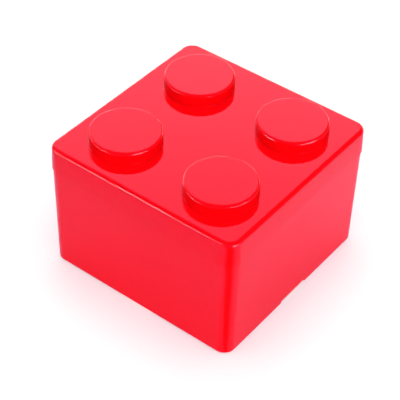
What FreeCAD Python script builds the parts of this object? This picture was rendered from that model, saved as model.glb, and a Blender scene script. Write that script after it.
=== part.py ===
import FreeCAD, Part
import math
import os
import Sketcher

# Stackable storage box in the form of a block with four round studs.
# Frame: millimetres, +Z up, origin at the centre of the face that the box stands on.
# Two mouldings: the box, a drafted tub, and the lid, a cap that seats on the tub's rim.
# +X is the side whose foot notch shows from the front, and the lid lifts straight up.

DRIVING = [
    ("lid_width", 80.0, "width and depth of the lid at its top edge"),
    ("corner_radius", 5.0, "radius of the lid's upright corners at its top edge"),
    ("lid_top", 52.0, "height of the lid's flat top"),
    ("skirt_height", 10.0, "height of the lid's skirt, from the seam to the flat top"),
    ("skirt_flare", 0.1, "how far the skirt's foot stands out past its top, each side"),
    ("skirt_wall", 1.3, "skirt thickness at the seam"),
    ("top_thickness", 1.8, "thickness of the lid's flat top"),
    ("top_edge_radius", 1.5, "rounding of the lid's top edge"),
    ("seam_bevel", 0.25, "bevel of the two outer edges that meet at the seam"),
    ("stud_pitch", 40.8, "distance between stud centres, both ways"),
    ("stud_radius", 12.85, "stud radius"),
    ("stud_height", 4.8, "stud height over the flat top"),
    ("stud_wall", 1.6, "thickness of a stud's side and top"),
    ("stud_bevel", 0.6, "bevel of a stud's top edge"),
    ("overhang", 0.3, "how far the skirt stands out past the box at the seam"),
    ("body_draft", 0.4, "how far the box narrows from the seam to its foot, each side"),
    ("foot_radius", 0.6, "rounding of the box's bottom edge"),
    ("fit_gap", 0.15, "gap between the skirt and the rim, each side"),
    ("rim_height", 6.5, "height of the thin rim that enters the lid"),
    ("rim_wall", 1.0, "thickness of the rim at the seam"),
    ("rim_bevel", 0.3, "bevel of the rim's top edges, which guides the lid on"),
    ("core_draft", 0.3, "how far inner walls close in from mouth to bottom, each side"),
    ("floor_thickness", 2.0, "thickness of the box's floor"),
    ("floor_radius", 1.6, "fillet between the inner walls and the floor"),
    ("recess_depth", 5.8, "depth of the recess under the floor, over the stud height"),
    ("foot_wall", 2.0, "wall thickness round the recess"),
    ("tube_wall", 1.6, "wall of the round tube under the floor"),
    ("tube_lift", 0.5, "how far tube and ribs stop above the foot"),
    ("stud_gap", 0.15, "gap that tube and ribs leave to a stud of a box below"),
    ("rib_thickness", 1.4, "thickness of a stud rib"),
    ("notch_length", 15.0, "length of the finger notch in the foot of each X side"),
    ("notch_height", 1.4, "height of the finger notch"),
    ("notch_radius", 1.1, "rounding of the notch's upper corners"),
]

doc = FreeCAD.newDocument("block_box")
sheet = doc.addObject("Spreadsheet::Sheet", "sizes")
for row, (alias, size, meaning) in enumerate(DRIVING, start=1):
    sheet.set(f"A{row}", meaning)
    sheet.set(f"B{row}", str(size))
    sheet.setAlias(f"B{row}", alias)
doc.recompute()

# Heights and half widths worked out from the sheet, as expressions that the features share.
# Every upright corner has its centre on the same four lines, so wall thicknesses stay even.
CORNER_CENTRE = "(sizes.lid_width / 2 - sizes.corner_radius)"
SEAM = "(sizes.lid_top - sizes.skirt_height)"
SKIRT_HALF = "(sizes.lid_width / 2 + sizes.skirt_flare)"
SKIRT_INNER_HALF = f"({SKIRT_HALF} - sizes.skirt_wall)"
SHOULDER_HALF = f"({SKIRT_HALF} - sizes.overhang)"
FOOT_HALF = f"({SHOULDER_HALF} - sizes.body_draft)"
RIM_HALF = f"({SKIRT_INNER_HALF} - sizes.fit_gap)"
RIM_TOP = f"({SEAM} + sizes.rim_height)"
MOUTH_HALF = f"({RIM_HALF} - sizes.rim_wall)"
FLOOR_TOP = "(sizes.recess_depth + sizes.floor_thickness)"
TOP_UNDERSIDE = "(sizes.lid_top - sizes.top_thickness)"
STUD_OFFSET = "(sizes.stud_pitch / 2)"
TUBE_RADIUS = f"({STUD_OFFSET} * sqrt(2) - sizes.stud_radius - sizes.stud_gap)"
RIB_FACE = f"({STUD_OFFSET} + sizes.stud_radius + sizes.stud_gap)"

LEVEL = 1e-4  # how near an edge lies to the height that it is looked for at


def value(expression):
    """Present value of an expression over the sheet, to place unsolved sketch points."""
    return float(sheet.evalExpression(expression.replace("sizes.", "")))


def origin_feature(body, role):
    """The body's own origin plane or axis with that role."""
    return next(item for item in body.Origin.OriginFeatures if item.Role == role)


def new_sketch(body, name, plane, offset):
    """An empty sketch on one of the body's origin planes, moved along its normal."""
    sketch = body.newObject("Sketcher::SketchObject", name)
    sketch.AttachmentSupport = [(origin_feature(body, plane), "")]
    sketch.MapMode = "FlatFace"
    sketch.setExpression("AttachmentOffset.Base.z", offset)
    return sketch


def name_size(sketch, constraint, name, expression):
    """Adds a dimension to the sketch and binds it to an expression."""
    index = sketch.addConstraint(constraint)
    sketch.renameConstraint(index, name)
    sketch.setExpression(f"Constraints.{name}", expression)


def rounded_square(body, name, height, half):
    """Sketch at a height: a square with rounded corners, centred on the Z axis."""
    sketch = new_sketch(body, name, "XY_Plane", height)
    side, centre = value(half), value(CORNER_CENTRE)
    radius = side - centre
    ends = [((-centre, side), (centre, side)), ((side, centre), (side, -centre)),
            ((centre, -side), (-centre, -side)), ((-side, -centre), (-side, centre))]
    for start, end in ends:
        sketch.addGeometry(Part.LineSegment(FreeCAD.Vector(*start, 0), FreeCAD.Vector(*end, 0)))
    quarter = math.pi / 2
    for turn, (x, y) in enumerate([(centre, centre), (centre, -centre),
                                   (-centre, -centre), (-centre, centre)]):
        circle = Part.Circle(FreeCAD.Vector(x, y, 0), FreeCAD.Vector(0, 0, 1), radius)
        sketch.addGeometry(Part.ArcOfCircle(circle, -turn * quarter, (1 - turn) * quarter))
    for corner in range(4):
        arc, after = corner + 4, (corner + 1) % 4
        sketch.addConstraint(Sketcher.Constraint("Tangent", corner, 2, arc, 2))
        sketch.addConstraint(Sketcher.Constraint("Tangent", arc, 1, after, 1))
    for line in (0, 2):
        sketch.addConstraint(Sketcher.Constraint("Horizontal", line))
        sketch.addConstraint(Sketcher.Constraint("Vertical", line + 1))
    for arc in (5, 6, 7):
        sketch.addConstraint(Sketcher.Constraint("Equal", 4, arc))
    sketch.addConstraint(Sketcher.Constraint("Symmetric", 4, 3, 6, 3, -1, 1))
    name_size(sketch, Sketcher.Constraint("DistanceX", -1, 1, 1, 1, side), "half_x", half)
    name_size(sketch, Sketcher.Constraint("DistanceY", -1, 1, 0, 1, side), "half_y", half)
    name_size(sketch, Sketcher.Constraint("Radius", 4, radius), "corner",
              f"{half} - {CORNER_CENTRE}")
    return sketch


def loft(body, name, low, high, cut=False):
    """Straight-sided form between two rounded squares, each a (height, half width) pair."""
    kind = "PartDesign::SubtractiveLoft" if cut else "PartDesign::AdditiveLoft"
    profiles = [rounded_square(body, f"{name}_{end}", *place)
                for end, place in (("low", low), ("high", high))]
    feature = body.newObject(kind, name)
    feature.Profile = profiles[0]
    feature.Sections = [profiles[1]]
    feature.Ruled = True
    doc.recompute()
    return feature


def circles(body, name, height, centre, radii):
    """Sketch at a height: circles about one point on the diagonal of the first quadrant."""
    sketch = new_sketch(body, name, "XY_Plane", height)
    place = value(centre)
    for index, radius in enumerate(radii):
        sketch.addGeometry(Part.Circle(FreeCAD.Vector(place, place, 0),
                                       FreeCAD.Vector(0, 0, 1), value(radius)))
        name_size(sketch, Sketcher.Constraint("Radius", index, value(radius)),
                  f"radius_{index}", radius)
        if place:
            for axis in "XY":
                name_size(sketch, Sketcher.Constraint(f"Distance{axis}", -1, 1, index, 3, place),
                          f"centre_{axis.lower()}_{index}", centre)
        else:
            sketch.addConstraint(Sketcher.Constraint("Coincident", index, 3, -1, 1))
    return sketch


def extrude(body, name, sketch, length, cut=False, reverse=False):
    """Pad or pocket of a sketch, by a length."""
    feature = body.newObject("PartDesign::Pocket" if cut else "PartDesign::Pad", name)
    feature.Profile = sketch
    feature.Type = "Length"
    feature.setExpression("Length", length)
    feature.Reversed = reverse
    doc.recompute()
    return feature


def four_round(body, name, feature):
    """The feature four times about the Z axis."""
    pattern = body.newObject("PartDesign::PolarPattern", name)
    pattern.Originals = [feature]
    pattern.Axis = (origin_feature(body, "Z_Axis"), [""])
    pattern.Angle = 360
    pattern.Occurrences = 4
    body.Tip = pattern
    doc.recompute()
    return pattern


def edges_at(shape, height):
    """Names of the level edges at a height."""
    found = []
    for index, edge in enumerate(shape.Edges, start=1):
        low, high = edge.BoundBox.ZMin, edge.BoundBox.ZMax
        if abs(low - height) < LEVEL and abs(high - height) < LEVEL:
            found.append(f"Edge{index}")
    return found


def fillet(body, name, base, edges, radius):
    """Rounds the named edges of the feature before it."""
    feature = body.newObject("PartDesign::Fillet", name)
    feature.Base = (base, edges)
    feature.setExpression("Radius", radius)
    doc.recompute()
    return feature


def bevel(body, name, base, edges, size):
    """Bevels the named edges of the feature before it at 45 degrees."""
    feature = body.newObject("PartDesign::Chamfer", name)
    feature.Base = (base, edges)
    feature.setExpression("Size", size)
    doc.recompute()
    return feature


def new_body(label):
    """An empty body at the origin, whose label names its file."""
    body = doc.addObject("PartDesign::Body", label)
    body.Label = label
    body.Placement = FreeCAD.Placement()
    return body


def make_box():
    """Tub: drafted walls, a thin rim above the seam, a raised floor, and under the floor a
    recess with a round tube and ribs that hold the four studs of a box below."""
    body = new_body("box")
    shell = loft(body, "shell", ("0", FOOT_HALF), (SEAM, SHOULDER_HALF))
    foot = fillet(body, "foot_edge", shell,
                  edges_at(shell.Shape, 0.0), "sizes.foot_radius")
    bevel(body, "shoulder_edge", foot, edges_at(foot.Shape, value(SEAM)), "sizes.seam_bevel")
    rim_top_half = f"({RIM_HALF} - sizes.fit_gap)"
    loft(body, "rim", (SEAM, RIM_HALF), (RIM_TOP, rim_top_half))
    cavity = loft(body, "cavity", (FLOOR_TOP, f"({MOUTH_HALF} - sizes.core_draft)"),
                  (RIM_TOP, MOUTH_HALF), cut=True)
    floor = fillet(body, "floor_corner", cavity,
                   edges_at(cavity.Shape, value(FLOOR_TOP)), "sizes.floor_radius")
    bevel(body, "rim_edges", floor, edges_at(floor.Shape, value(RIM_TOP)), "sizes.rim_bevel")
    loft(body, "recess", ("0", f"({FOOT_HALF} - sizes.foot_wall)"),
         ("sizes.recess_depth", f"({FOOT_HALF} - sizes.foot_wall - sizes.core_draft)"), cut=True)
    notch(body)
    drop = "sizes.recess_depth - sizes.tube_lift"
    tube = circles(body, "tube_rings", "sizes.recess_depth", "0",
                   [TUBE_RADIUS, f"({TUBE_RADIUS} - sizes.tube_wall)"])
    extrude(body, "tube", tube, drop, reverse=True)
    ribs = extrude(body, "ribs", rib_pair(body), drop, reverse=True)
    four_round(body, "all_ribs", ribs)
    return body


def rectangle(sketch, name, left, right, low, high):
    """Adds a rectangle to a sketch, its four sides placed by expressions from the origin."""
    first = sketch.GeometryCount
    x_low, x_high, y_low, y_high = (value(side) for side in (left, right, low, high))
    corners = [(x_low, y_low), (x_high, y_low), (x_high, y_high), (x_low, y_high)]
    for start, end in zip(corners, corners[1:] + corners[:1]):
        sketch.addGeometry(Part.LineSegment(FreeCAD.Vector(*start, 0), FreeCAD.Vector(*end, 0)))
    for line, way in enumerate(("Horizontal", "Vertical", "Horizontal", "Vertical")):
        sketch.addConstraint(Sketcher.Constraint("Coincident", first + line, 2,
                                                 first + (line + 1) % 4, 1))
        sketch.addConstraint(Sketcher.Constraint(way, first + line))
    for side, way, line, place in (("left", "X", 0, left), ("right", "X", 1, right),
                                   ("low", "Y", 0, low), ("high", "Y", 2, high)):
        name_size(sketch, Sketcher.Constraint(f"Distance{way}", -1, 1, first + line, 1,
                                              value(place)), f"{name}_{side}", place)


def notch(body):
    """Low finger notch through the foot of both X sides, its upper corners rounded."""
    sketch = new_sketch(body, "notch_outline", "YZ_Plane", "0")
    rectangle(sketch, "notch", "-sizes.notch_length / 2", "sizes.notch_length / 2",
              "-sizes.notch_height", "sizes.notch_height")
    pocket = body.newObject("PartDesign::Pocket", "notch")
    pocket.Profile = sketch
    pocket.Type = "ThroughAll"
    pocket.SideType = "Symmetric"
    doc.recompute()
    end, high = value("sizes.notch_length / 2"), value("sizes.notch_height")
    upper = [name for name in edges_at(pocket.Shape, high)
             if abs(abs(pocket.Shape.getElement(name).BoundBox.Center.y) - end) < LEVEL]
    fillet(body, "notch_corners", pocket, upper, "sizes.notch_radius")


def rib_pair(body):
    """Two rib sections on the front wall, each on the centre line of a stud."""
    sketch = new_sketch(body, "rib_sections", "XY_Plane", "sizes.recess_depth")
    for name, side in (("left", "-"), ("right", "")):
        middle = f"{side}{STUD_OFFSET}"
        rectangle(sketch, name, f"{middle} - sizes.rib_thickness / 2",
                  f"{middle} + sizes.rib_thickness / 2",
                  f"-({FOOT_HALF} - sizes.foot_wall / 2)", f"-{RIB_FACE}")
    return sketch


def make_lid():
    """Cap: a skirt and a flat top with four hollow studs, all of one even wall."""
    body = new_body("lid")
    cap = loft(body, "cap", (SEAM, SKIRT_HALF), ("sizes.lid_top", "sizes.lid_width / 2"))
    top = fillet(body, "top_edge", cap,
                 edges_at(cap.Shape, value("sizes.lid_top")), "sizes.top_edge_radius")
    bevel(body, "skirt_edge", top, edges_at(top.Shape, value(SEAM)), "sizes.seam_bevel")
    outer = circles(body, "stud_circle", "sizes.lid_top", STUD_OFFSET, ["sizes.stud_radius"])
    stud = extrude(body, "stud", outer, "sizes.stud_height")
    studs = four_round(body, "studs", stud)
    stud_top = value("sizes.lid_top + sizes.stud_height")
    bevel(body, "stud_edges", studs, edges_at(studs.Shape, stud_top), "sizes.stud_bevel")
    loft(body, "hollow", (SEAM, SKIRT_INNER_HALF),
         (TOP_UNDERSIDE, f"({SKIRT_INNER_HALF} - sizes.skirt_flare)"), cut=True)
    inner = circles(body, "stud_hollow_circle", TOP_UNDERSIDE, STUD_OFFSET,
                    ["sizes.stud_radius - sizes.stud_wall"])
    depth = "sizes.stud_height + sizes.top_thickness - sizes.stud_wall"
    stud_hollow = extrude(body, "stud_hollow", inner, depth, cut=True, reverse=True)
    four_round(body, "stud_hollows", stud_hollow)
    return body


def check_document():
    """Stops if a feature failed or a sub-part has no sound solid."""
    for item in doc.Objects:
        if "Invalid" in item.State or "Error" in item.State:
            raise RuntimeError(f"{item.Name} is {item.State}")
    for body in bodies:
        shape = body.Shape
        if shape.isNull() or not shape.isValid() or len(shape.Solids) != 1:
            raise RuntimeError(f"{body.Label} has no single valid solid")


bodies = [make_box(), make_lid()]
doc.recompute()
check_document()
os.makedirs("parts", exist_ok=True)
for body in bodies:
    body.Shape.exportStep(os.path.join("parts", f"{body.Label}.step"))
    extent = body.Shape.optimalBoundingBox()
    print(body.Label, f"{extent.XLength:.2f} x {extent.YLength:.2f} x {extent.ZLength:.2f} mm,",
          f"volume {body.Shape.Volume / 1000:.2f} cm3")
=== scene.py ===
import math

import bpy
from mathutils import Matrix, Vector
from mathutils.geometry import tessellate_polygon


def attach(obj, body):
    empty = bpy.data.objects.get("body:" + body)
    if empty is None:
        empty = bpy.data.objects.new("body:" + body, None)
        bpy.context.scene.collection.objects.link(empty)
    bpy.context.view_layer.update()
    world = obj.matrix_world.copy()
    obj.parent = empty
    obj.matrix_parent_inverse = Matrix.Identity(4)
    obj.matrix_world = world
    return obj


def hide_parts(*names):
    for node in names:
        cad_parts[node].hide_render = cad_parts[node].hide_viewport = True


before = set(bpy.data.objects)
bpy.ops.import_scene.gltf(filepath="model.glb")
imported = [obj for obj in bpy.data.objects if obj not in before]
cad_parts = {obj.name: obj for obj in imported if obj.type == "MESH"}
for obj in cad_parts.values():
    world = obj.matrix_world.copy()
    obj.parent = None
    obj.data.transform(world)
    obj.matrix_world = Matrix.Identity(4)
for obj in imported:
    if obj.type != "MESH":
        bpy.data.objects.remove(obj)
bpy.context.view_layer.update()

# A small red storage box in the form of a block with four round studs: a tub and a cap-like lid.
# Frame: metres, +Z up, origin at the centre of the face that the box stands on.
# The front is the -Y side, and the foot notch that shows is in the +X side.

scene = bpy.context.scene
MM = 0.001

# Driving sizes of the lid in millimetres, as in the solid model
LID_WIDTH = 80.0
LID_TOP = 52.0
CORNER_RADIUS = 5.0
SKIRT_HEIGHT = 10.0
SKIRT_FLARE = 0.1
SKIRT_WALL = 1.3
TOP_THICKNESS = 1.8
STUD_PITCH = 40.8
STUD_RADIUS = 12.85
STUD_HEIGHT = 4.8
STUD_WALL = 1.6

# Roundings of the lid's edges in millimetres
TOP_EDGE = 1.5
SEAM_EDGE = 0.25
STUD_EDGE = 1.0
STUD_ROOT = 0.08
INNER_EDGE = 0.4

# Lean of the skirt in degrees from upright, at the seam and under the top edge
SKIRT_LEAN_LOW = 1.0
SKIRT_LEAN_HIGH = 3.0

# Sizes that follow
CORNER_CENTRE = LID_WIDTH / 2 - CORNER_RADIUS
SEAM = LID_TOP - SKIRT_HEIGHT
SKIRT_HALF = LID_WIDTH / 2 + SKIRT_FLARE
SKIRT_INNER = SKIRT_HALF - SKIRT_WALL
SKIRT_INNER_TOP = SKIRT_INNER - SKIRT_FLARE
TOP_UNDERSIDE = LID_TOP - TOP_THICKNESS
STUD_OFFSET = STUD_PITCH / 2
STUD_TOP = LID_TOP + STUD_HEIGHT
HOLLOW_RADIUS = STUD_RADIUS - STUD_WALL
HOLLOW_TOP = STUD_TOP - STUD_WALL

# Steps that round stretches are divided into
CORNER_STEPS = 14
CIRCLE_STEPS = 112
SIDE_STEPS = 8
TOP_EDGE_STEPS = 12
STUD_EDGE_STEPS = 9
FINE_STEPS = 4

QUARTERS = ((1, 1), (-1, 1), (-1, -1), (1, -1))


# Profiles and rings

def arc(centre, radius, start, end, steps, outward=True):
    """Profile points (reach, height, normal reach, normal height) along an arc in degrees."""
    side = 1 if outward else -1
    points = []
    for step in range(steps + 1):
        angle = math.radians(start + (end - start) * step / steps)
        across, up = math.cos(angle), math.sin(angle)
        points.append((centre[0] + radius * across, centre[1] + radius * up,
                       side * across, side * up))
    return points


def line(start, end, normal):
    """The two ends of a straight stretch of a profile, with its normal."""
    return [(*start, *normal), (*end, *normal)]


def crown(reach, low, high, lean_low, lean_high, steps):
    """A side from one height to another that leans in more and more, in degrees from upright."""
    slope_low = math.tan(math.radians(lean_low))
    slope_high = math.tan(math.radians(lean_high))
    points = []
    for step in range(steps + 1):
        share = step / steps
        rise = (high - low) * share
        inset = rise * (slope_low + (slope_high - slope_low) * share / 2)
        angle = math.radians(lean_low + (lean_high - lean_low) * share)
        points.append((reach - inset, low + rise, math.cos(angle), math.sin(angle)))
    return points


def square_ring(point):
    """A rounded square whose corners turn about the same four lines at every height."""
    reach, height, across, up = point
    radius = reach - CORNER_CENTRE
    ring = []
    for quarter, (x, y) in enumerate(QUARTERS):
        for step in range(CORNER_STEPS + 1):
            angle = math.radians(90 * (quarter + step / CORNER_STEPS))
            way = (math.cos(angle), math.sin(angle))
            place = (CORNER_CENTRE * x + radius * way[0], CORNER_CENTRE * y + radius * way[1], height)
            ring.append((place, (across * way[0], across * way[1], up)))
    return ring


def circle_ring(x, y):
    """Makes the ring function of circles about an upright line."""
    def ring(point):
        reach, height, across, up = point
        found = []
        for step in range(CIRCLE_STEPS):
            angle = 2 * math.pi * step / CIRCLE_STEPS
            way = (math.cos(angle), math.sin(angle))
            found.append(((x + reach * way[0], y + reach * way[1], height),
                          (across * way[0], across * way[1], up)))
        return found
    return ring


class Skin:
    """Collects faces with a normal at each of their corners, and joins equal points."""

    def __init__(self):
        self.points = []
        self.index = {}
        self.faces = []
        self.normals = []

    def vertex(self, place):
        """The number of the point at a place in millimetres."""
        key = tuple(round(value, 5) for value in place)
        if key not in self.index:
            self.index[key] = len(self.points)
            self.points.append(Vector(place) * MM)
        return self.index[key]

    def face(self, corners):
        """Adds a face from (place, normal) pairs, turned to the side of its normals."""
        kept = []
        for place, normal in corners:
            number = self.vertex(place)
            if number not in [other for other, _ in kept]:
                kept.append((number, Vector(normal).normalized()))
        if len(kept) < 3:
            return
        a, b, c = (self.points[number] for number, _ in kept[:3])
        facing = (b - a).cross(c - a)
        if len(kept) == 4:
            facing += (c - a).cross(self.points[kept[3][0]] - a)
        if facing.dot(sum((normal for _, normal in kept), Vector())) < 0:
            kept.reverse()
        self.faces.append([number for number, _ in kept])
        self.normals.extend(normal for _, normal in kept)

    def sweep(self, profile, ring):
        """Faces between the rings of neighbouring profile points that lie apart."""
        rings = [ring(point) for point in profile]
        for low, high, first, second in zip(rings, rings[1:], profile, profile[1:]):
            if first[:2] == second[:2]:
                continue
            for place in range(len(low)):
                after = (place + 1) % len(low)
                self.face([low[place], low[after], high[after], high[place]])

    def flat(self, outlines, up):
        """A level face inside the first outline and outside the others."""
        loops = [[Vector(place) for place, _ in outline] for outline in outlines]
        places = [place for loop in loops for place in loop]
        for corners in tessellate_polygon(loops):
            self.face([(tuple(places[corner]), (0, 0, up)) for corner in corners])

    def piece(self, name):
        """Makes the object."""
        mesh = bpy.data.meshes.new(name)
        mesh.from_pydata(self.points, [], self.faces)
        mesh.polygons.foreach_set("use_smooth", [True] * len(mesh.polygons))
        mesh.normals_split_custom_set(self.normals)
        mesh.update()
        piece = bpy.data.objects.new(name, mesh)
        scene.collection.objects.link(piece)
        return piece


# The lid

def outside_profile():
    """From the skirt's inner foot edge round the seam, up the leaning side and over the top edge."""
    foot = SKIRT_HALF - SEAM_EDGE
    lean = math.radians(SKIRT_LEAN_HIGH)
    side_top = LID_TOP - TOP_EDGE + TOP_EDGE * math.sin(lean)
    side = crown(SKIRT_HALF, SEAM + SEAM_EDGE, side_top, SKIRT_LEAN_LOW, SKIRT_LEAN_HIGH, SIDE_STEPS)
    edge = (side[-1][0] - TOP_EDGE * math.cos(lean), LID_TOP - TOP_EDGE)
    profile = line((SKIRT_INNER, SEAM), (foot, SEAM), (0, -1))
    profile += arc((foot, SEAM + SEAM_EDGE), SEAM_EDGE, -90, 0, FINE_STEPS)
    profile += side
    profile += arc(edge, TOP_EDGE, SKIRT_LEAN_HIGH, 90, TOP_EDGE_STEPS)
    return profile


def inside_profile():
    """Up the inner side of the skirt and into the underside of the top."""
    edge = (SKIRT_INNER_TOP - INNER_EDGE, TOP_UNDERSIDE - INNER_EDGE)
    profile = [(SKIRT_INNER, SEAM, -1, 0)]
    profile += arc(edge, INNER_EDGE, 0, 90, FINE_STEPS, outward=False)
    return profile


def stud_profile():
    """From the small fillet at a stud's root up its side and over its top edge."""
    root = (STUD_RADIUS + STUD_ROOT, LID_TOP + STUD_ROOT)
    edge = (STUD_RADIUS - STUD_EDGE, STUD_TOP - STUD_EDGE)
    profile = arc(root, STUD_ROOT, -90, -180, FINE_STEPS, outward=False)
    profile += arc(edge, STUD_EDGE, 0, 90, STUD_EDGE_STEPS)
    return profile


def hollow_profile():
    """The inside of a stud, open to below."""
    edge = (HOLLOW_RADIUS - INNER_EDGE, HOLLOW_TOP - INNER_EDGE)
    profile = [(HOLLOW_RADIUS, TOP_UNDERSIDE, -1, 0)]
    profile += arc(edge, INNER_EDGE, 0, 90, FINE_STEPS, outward=False)
    return profile


def lid_skin():
    """The cap with its four hollow studs, with every moulded rounding."""
    skin = Skin()
    outside, inside = outside_profile(), inside_profile()
    skin.sweep(outside, square_ring)
    skin.sweep(inside, square_ring)
    stud, hollow = stud_profile(), hollow_profile()
    top_holes, under_holes = [], []
    for x, y in QUARTERS:
        ring = circle_ring(STUD_OFFSET * x, STUD_OFFSET * y)
        skin.sweep(stud, ring)
        skin.flat([ring(stud[-1])], 1)
        skin.sweep(hollow, ring)
        skin.flat([ring(hollow[-1])], -1)
        top_holes.append(ring(stud[0]))
        under_holes.append(ring(hollow[0]))
    skin.flat([square_ring(outside[-1]), *top_holes], 1)
    skin.flat([square_ring(inside[-1]), *under_holes], -1)
    return skin


# Nodes of materials and of the world

class Graph:
    """Short ways to add nodes to one node tree. A value is a number, a tuple or another output."""

    def __init__(self, tree):
        self.nodes = tree.nodes
        self.links = tree.links

    def feed(self, socket, value):
        """Links an output to an input, or sets the input."""
        if isinstance(value, bpy.types.NodeSocket):
            self.links.new(value, socket)
        else:
            socket.default_value = value

    def ray(self, kind):
        return self.nodes.new("ShaderNodeLightPath").outputs[kind]

    def place(self, kind):
        return self.nodes.new("ShaderNodeTexCoord").outputs[kind]

    def noise(self, where, scale, detail, roughness=0.5):
        node = self.nodes.new("ShaderNodeTexNoise")
        self.feed(node.inputs["Vector"], where)
        self.feed(node.inputs["Scale"], scale)
        self.feed(node.inputs["Detail"], detail)
        self.feed(node.inputs["Roughness"], roughness)
        return node.outputs["Fac"]

    def remap(self, source, start, end, low, high, kind="LINEAR"):
        """Brings the stretch from start to end to the stretch from low to high."""
        node = self.nodes.new("ShaderNodeMapRange")
        node.interpolation_type = kind
        self.feed(node.inputs["Value"], source)
        self.feed(node.inputs["From Min"], start)
        self.feed(node.inputs["From Max"], end)
        self.feed(node.inputs["To Min"], low)
        self.feed(node.inputs["To Max"], high)
        return node.outputs["Result"]

    def fade(self, source, start, end, low, high):
        return self.remap(source, start, end, low, high, kind="SMOOTHSTEP")

    def calculate(self, operation, first, second):
        node = self.nodes.new("ShaderNodeMath")
        node.operation = operation
        self.feed(node.inputs[0], first)
        self.feed(node.inputs[1], second)
        return node.outputs["Value"]

    def product(self, first, *others):
        for other in others:
            first = self.calculate("MULTIPLY", first, other)
        return first

    def vector(self, operation, *values, result="Vector"):
        node = self.nodes.new("ShaderNodeVectorMath")
        node.operation = operation
        for socket, value in zip(node.inputs, values):
            self.feed(socket, value)
        return node.outputs[result]

    def mix(self, factor, first, second, kind="RGBA"):
        node = self.nodes.new("ShaderNodeMix")
        node.data_type = kind
        self.feed(node.inputs["Factor"], factor)
        self.feed(node.inputs["A"], first)
        self.feed(node.inputs["B"], second)
        return node.outputs["Result"]

    def mix_shader(self, factor, first, second):
        node = self.nodes.new("ShaderNodeMixShader")
        self.feed(node.inputs["Fac"], factor)
        self.feed(node.inputs[1], first)
        self.feed(node.inputs[2], second)
        return node.outputs["Shader"]

    def bump(self, height, strength, distance, below=None):
        """A relief of a depth in metres, over the one below where one is given."""
        node = self.nodes.new("ShaderNodeBump")
        self.feed(node.inputs["Height"], height)
        self.feed(node.inputs["Strength"], strength)
        self.feed(node.inputs["Distance"], distance)
        if below:
            self.feed(node.inputs["Normal"], below)
        return node.outputs["Normal"]


def new_material(name):
    """A material with its graph and its shader."""
    material = bpy.data.materials.new(name)
    material.use_nodes = True
    graph = Graph(material.node_tree)
    return material, graph, graph.nodes["Principled BSDF"]


# Plastic

# Reflections in the plastic carry less green
REFLECTION_TINT = (1.0, 0.34, 1.0, 1.0)

# The stretch of a noise that makes patches
NOISE_LOW = 0.3
NOISE_HIGH = 0.7

# Shares of the red in deeper patches, and of the roughness in glossier and duller ones
DEEPER = (0.96, 0.8, 0.85)
GLOSSIER = 0.8
DULLER = 1.25

# Depths of the relief in metres
WAVE_DEPTH = 0.00006
GRAIN_DEPTH = 0.000004


def glossy_plastic(name, red, index, gloss, relief):
    """Moulded plastic: faint colour drift, uneven gloss, shallow waves and a fine grain."""
    material, graph, shader = new_material(name)
    where = graph.place("Object")
    drift = graph.remap(graph.noise(where, scale=38, detail=3), NOISE_LOW, NOISE_HIGH, 0, 1)
    deeper_red = [part * share for part, share in zip(red, DEEPER)]
    graph.feed(shader.inputs["Base Color"], graph.mix(drift, (*red, 1), (*deeper_red, 1)))
    wear = graph.noise(where, scale=120, detail=4, roughness=0.6)
    roughness = graph.remap(wear, NOISE_LOW, NOISE_HIGH, gloss * GLOSSIER, gloss * DULLER)
    graph.feed(shader.inputs["Roughness"], roughness)
    waves = graph.bump(graph.noise(where, scale=55, detail=2), relief, WAVE_DEPTH)
    grain = graph.bump(graph.noise(where, scale=900, detail=3), relief, GRAIN_DEPTH, below=waves)
    graph.feed(shader.inputs["Normal"], grain)
    graph.feed(shader.inputs["IOR"], index)
    graph.feed(shader.inputs["Specular Tint"], REFLECTION_TINT)
    return material


lid_plastic = glossy_plastic("lid_red", (0.87, 0.001, 0.004), index=1.3, gloss=0.03, relief=0.4)
box_plastic = glossy_plastic("box_red", (0.88, 0.001, 0.004), index=1.31, gloss=0.05, relief=0.5)

lid = lid_skin().piece("lid_shell")
lid.data.materials.append(lid_plastic)
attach(lid, "lid")
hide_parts("lid")

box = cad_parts["box"]
for place in box.material_slots:
    place.link = "OBJECT"
    place.material = box_plastic


# Floor, in metres

FLOOR_REACH = 0.26
FLOOR_LEVEL = -0.0002
PAPER = (0.80, 0.78, 0.70, 1)
MATT = 0.9

# Painted shade and tint in reflections: the paper as the plastic mirrors it, darker near the box and
# lighter farther out, by the distance from the middle
PAINTED_SHADE_MIRRORED_NEAR = (0.78, 0.56, 0.82, 1)
PAINTED_MIRRORED_FAR = (1.0, 0.76, 1.0, 1)
PAINTED_SHADE_NEAR_DISTANCE = 0.045
PAINTED_SHADE_FAR_DISTANCE = 0.095

# The glow that the camera sees in the paper: outside an even lift to white, under the box a brighter
# pink painted light over the box's shade
PAINTED_LIGHT_UNDER_BOX = (1.5, 1.03, 1.2, 1)
LIFT = (0.58, 0.70, 1.0, 1)
LIFT_STRENGTH = 0.30
UNDER_BOX_END = 0.0395
OUTSIDE_START = 0.0405

# The dark card, which paints a dark reflection in the rounded front corner, with the angle in radians
# over which each side fades
CARD_NEAR = 0.038
CARD_FAR = 0.14
CARD_LEVEL = 0.0002
CARD_GREY = (0.05, 0.05, 0.05, 1)
CARD_SIDE_FADE = 0.6
CARD_FADE_START = 0.07
CARD_FADE_END = 0.11


def level_rectangle(name, x_span, y_span, level, material):
    """A level rectangle, which only stages the object."""
    mesh = bpy.data.meshes.new(name)
    corners = [(x_span[0], y_span[0], level), (x_span[1], y_span[0], level),
               (x_span[1], y_span[1], level), (x_span[0], y_span[1], level)]
    mesh.from_pydata(corners, [], [(0, 1, 2, 3)])
    mesh.materials.append(material)
    rectangle = bpy.data.objects.new(name, mesh)
    scene.collection.objects.link(rectangle)
    return rectangle


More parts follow.
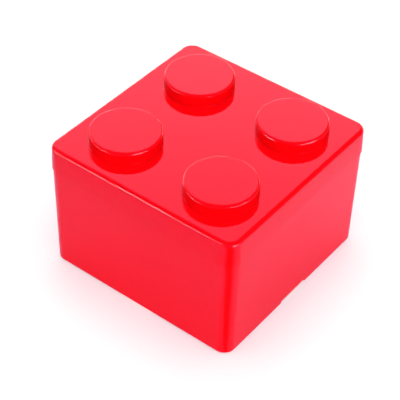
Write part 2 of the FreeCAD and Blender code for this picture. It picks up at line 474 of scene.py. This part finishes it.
def paper_material():
    """Matt white paper, lifted a little for the camera, with painted light under the box; where
    plastic mirrors it, tinted and with painted shade near the box.
    """
    material, graph, shader = new_material("paper")
    distance = graph.vector("LENGTH", graph.place("Object"), result="Value")
    away = graph.remap(distance, PAINTED_SHADE_NEAR_DISTANCE, PAINTED_SHADE_FAR_DISTANCE, 0, 1)
    # Painted shade: the paper that the plastic mirrors darkens towards the box, with a painted tint
    # of less green
    mirrored = graph.mix(away, PAINTED_SHADE_MIRRORED_NEAR, PAINTED_MIRRORED_FAR)
    graph.feed(shader.inputs["Base Color"], graph.mix(graph.ray("Is Glossy Ray"), PAPER, mirrored))
    graph.feed(shader.inputs["Roughness"], MATT)
    graph.feed(shader.inputs["Specular IOR Level"], 0.0)
    outside = graph.remap(distance, UNDER_BOX_END, OUTSIDE_START, 0, 1)
    lift = graph.nodes.new("ShaderNodeEmission")
    # Painted light: the paper under the box glows brighter and pink, lifting the shade seen through
    # the notch
    graph.feed(lift.inputs["Color"], graph.mix(outside, PAINTED_LIGHT_UNDER_BOX, LIFT))
    graph.feed(lift.inputs["Strength"], graph.product(graph.ray("Is Camera Ray"), LIFT_STRENGTH))
    both = graph.nodes.new("ShaderNodeAddShader")
    graph.feed(both.inputs[0], shader.outputs["BSDF"])
    graph.feed(both.inputs[1], lift.outputs["Emission"])
    graph.feed(graph.nodes["Material Output"].inputs["Surface"], both.outputs["Shader"])
    return material


def card_material():
    """A painted dark reflection: dark and matt, and clear towards both sides and the far end of its
    quarter of the floor.
    """
    material, graph, shader = new_material("card")
    graph.feed(shader.inputs["Base Color"], CARD_GREY)
    graph.feed(shader.inputs["Roughness"], MATT)
    from_corner = graph.vector("MULTIPLY_ADD", graph.place("Object"), (1, -1, 0),
                               (-CARD_NEAR, -CARD_NEAR, 0))
    axes = graph.nodes.new("ShaderNodeSeparateXYZ")
    graph.feed(axes.inputs["Vector"], from_corner)
    turn = graph.calculate("ARCTAN2", axes.outputs["Y"], axes.outputs["X"])
    length = graph.vector("LENGTH", from_corner, result="Value")
    cover = graph.product(
        graph.fade(turn, 0.0, CARD_SIDE_FADE, 0, 1),
        graph.fade(turn, math.pi / 2 - CARD_SIDE_FADE, math.pi / 2, 1, 0),
        graph.fade(length, CARD_FADE_START, CARD_FADE_END, 1, 0))
    clear = graph.nodes.new("ShaderNodeBsdfTransparent")
    faded = graph.mix_shader(cover, clear.outputs["BSDF"], shader.outputs["BSDF"])
    graph.feed(graph.nodes["Material Output"].inputs["Surface"], faded)
    return material


whole = (-FLOOR_REACH, FLOOR_REACH)
floor = level_rectangle("floor", whole, whole, FLOOR_LEVEL, paper_material())

# The dark card lies before the front corner and shows in reflections only, as a painted dark
# reflection in the rounded front corner.
card = level_rectangle("dark_card", (CARD_NEAR, CARD_FAR), (-CARD_FAR, -CARD_NEAR),
                       CARD_LEVEL, card_material())
card.visible_camera = False
card.visible_diffuse = False
card.visible_shadow = False


# World

RIGHT_SIDE = (0.8, 0.6, 0)
FAR_SIDE = (-0.6, 0.8, 0)
GREY = (0.8, 0.8, 0.8, 1)
WHITE = (1, 1, 1, 1)

# Brightness of the sky as a light, and of the room, the window and the strip in reflections
SKY = 0.32
ROOM = 0.25
WINDOW_LOW = 3.65
WINDOW_HIGH = 1.4
WINDOW_FOOT = 0.08
STRIP_BRIGHTNESS = 27.0

# Where the mirrored lights fade, as parts of the direction upwards, to the right or to the far side
WINDOW_DIMMING = (0.56, 0.80)
WINDOW_TOP = (0.80, 0.92)
WINDOW_BOTTOM = (0.30, 0.60)
WINDOW_RIGHT_END = (0.14, 0.26)
WINDOW_LEFT_END = (-0.75, -0.45)
WINDOW_NEAR_END = (0.0, 0.3)
STRIP_TOP = (0.07, 0.10)
STRIP_BOTTOM = (0.03, 0.05)
STRIP_NEAR_END = (-0.1, 0.3)
STRIP_RIGHT_END = (0.72, 0.88)


def studio_world():
    """A dim even sky, white to the camera. Reflections show a room, a window and a low strip."""
    world = bpy.data.worlds.new("studio")
    world.use_nodes = True
    graph = Graph(world.node_tree)
    graph.nodes.clear()
    way = graph.place("Generated")
    height = graph.vector("DOT_PRODUCT", way, (0, 0, 1), result="Value")
    rightward = graph.vector("DOT_PRODUCT", way, RIGHT_SIDE, result="Value")
    away = graph.vector("DOT_PRODUCT", way, FAR_SIDE, result="Value")
    window = graph.product(
        graph.fade(height, *WINDOW_DIMMING, WINDOW_LOW, WINDOW_HIGH),
        graph.fade(height, *WINDOW_TOP, 1, 0),
        graph.fade(height, *WINDOW_BOTTOM, WINDOW_FOOT, 1),
        graph.fade(rightward, *WINDOW_RIGHT_END, 1, 0),
        graph.fade(rightward, *WINDOW_LEFT_END, 0, 1),
        graph.fade(away, *WINDOW_NEAR_END, 0, 1))
    strip = graph.product(
        graph.fade(height, *STRIP_TOP, STRIP_BRIGHTNESS, 0),
        graph.fade(height, *STRIP_BOTTOM, 0, 1),
        graph.fade(away, *STRIP_NEAR_END, 0, 1),
        graph.fade(rightward, *STRIP_RIGHT_END, 1, 0))
    mirrored = graph.calculate("ADD", graph.calculate("ADD", window, strip), ROOM)
    room = graph.nodes.new("ShaderNodeBackground")
    graph.feed(room.inputs["Color"], GREY)
    strength = graph.mix(graph.ray("Is Glossy Ray"), SKY, mirrored, kind="FLOAT")
    graph.feed(room.inputs["Strength"], strength)
    white = graph.nodes.new("ShaderNodeBackground")
    graph.feed(white.inputs["Color"], WHITE)
    graph.feed(white.inputs["Strength"], 1.0)
    shown = graph.mix_shader(graph.ray("Is Camera Ray"), room.outputs["Background"],
                             white.outputs["Background"])
    out = graph.nodes.new("ShaderNodeOutputWorld")
    graph.feed(out.inputs["Surface"], shown)
    return world


scene.world = studio_world()


# Lamps

LIT_PLACE = Vector((0, 0, 0.03))
PANEL_TINT = (1.0, 1.0, 0.54)
PANEL_DISTANCE = 1.0
FILL_DISTANCE = 1.3


def softbox(name, direction, distance, size, radiance):
    """A rectangular lamp aimed at the object. Its power follows from the wanted radiance."""
    way = Vector(direction).normalized()
    width, height = size
    data = bpy.data.lights.new(name, "AREA")
    data.shape = "RECTANGLE"
    data.size = width
    data.size_y = height
    data.energy = radiance * math.pi * width * height
    lamp = bpy.data.objects.new(name, data)
    lamp.location = LIT_PLACE + way * distance
    lamp.rotation_mode = "QUATERNION"
    lamp.rotation_quaternion = way.to_track_quat("Z", "Y")
    lamp.visible_camera = False
    scene.collection.objects.link(lamp)
    return lamp


def panel(name, direction, size, radiance):
    """A low panel that shows in reflections only, as thin glints along the rounded edges."""
    lamp = softbox(name, direction, PANEL_DISTANCE, size, radiance)
    lamp.data.color = PANEL_TINT
    lamp.visible_diffuse = False


def fill(name, direction, size, radiance):
    """Soft light that doesn't show in reflections."""
    lamp = softbox(name, direction, FILL_DISTANCE, size, radiance)
    lamp.visible_glossy = False


panel("panel_front_left", (-0.49, -0.81, 0.083), (0.68, 0.10), radiance=88.0)
panel("panel_front_right", (0.905, -0.15, 0.080), (0.9, 0.10), radiance=98.0)
fill("fill_top", (0.0, 0.0, 1.0), (1.3, 1.3), radiance=3.0)
fill("fill_front", (0.5, -0.72, 0.19), (1.6, 0.6), radiance=3.8)
fill("fill_back", (-0.6, 0.8, 0.22), (1.6, 0.6), radiance=2.0)
fill("fill_right", (0.95, 0.05, 0.2), (1.0, 0.6), radiance=2.0)


# Camera: angles in degrees, lengths in metres, lens and sensor in millimetres

CAMERA_AZIMUTH = 36.72
CAMERA_ELEVATION = 42.19
CAMERA_ROLL = 1.78
CAMERA_TARGET = Vector((0, 0, 0.025))
CAMERA_DISTANCE = 0.4771
CAMERA_TO_LEFT = 0.00264
CAMERA_DOWN = 0.0023
LENS = 119.81
SENSOR_WIDTH = 36
CLIP_START = 0.01


def add_camera():
    """A long lens that looks down on the front and right sides, rolled a little."""
    azimuth = math.radians(CAMERA_AZIMUTH)
    elevation = math.radians(CAMERA_ELEVATION)
    roll = math.radians(CAMERA_ROLL)
    back = Vector((math.sin(azimuth) * math.cos(elevation),
                   -math.cos(azimuth) * math.cos(elevation), math.sin(elevation)))
    right = Vector((math.cos(azimuth), math.sin(azimuth), 0))
    up = back.cross(right)
    across = right * math.cos(roll) + up * math.sin(roll)
    upward = up * math.cos(roll) - right * math.sin(roll)
    place = CAMERA_TARGET + back * CAMERA_DISTANCE - right * CAMERA_TO_LEFT - up * CAMERA_DOWN
    data = bpy.data.cameras.new("camera")
    data.sensor_fit = "HORIZONTAL"
    data.sensor_width = SENSOR_WIDTH
    data.lens = LENS
    data.clip_start = CLIP_START
    camera = bpy.data.objects.new("camera", data)
    turned = Matrix((across, upward, back)).transposed().to_4x4()
    camera.matrix_world = Matrix.Translation(place) @ turned
    scene.collection.objects.link(camera)
    return camera


scene.camera = add_camera()
scene.view_settings.view_transform = "Standard"
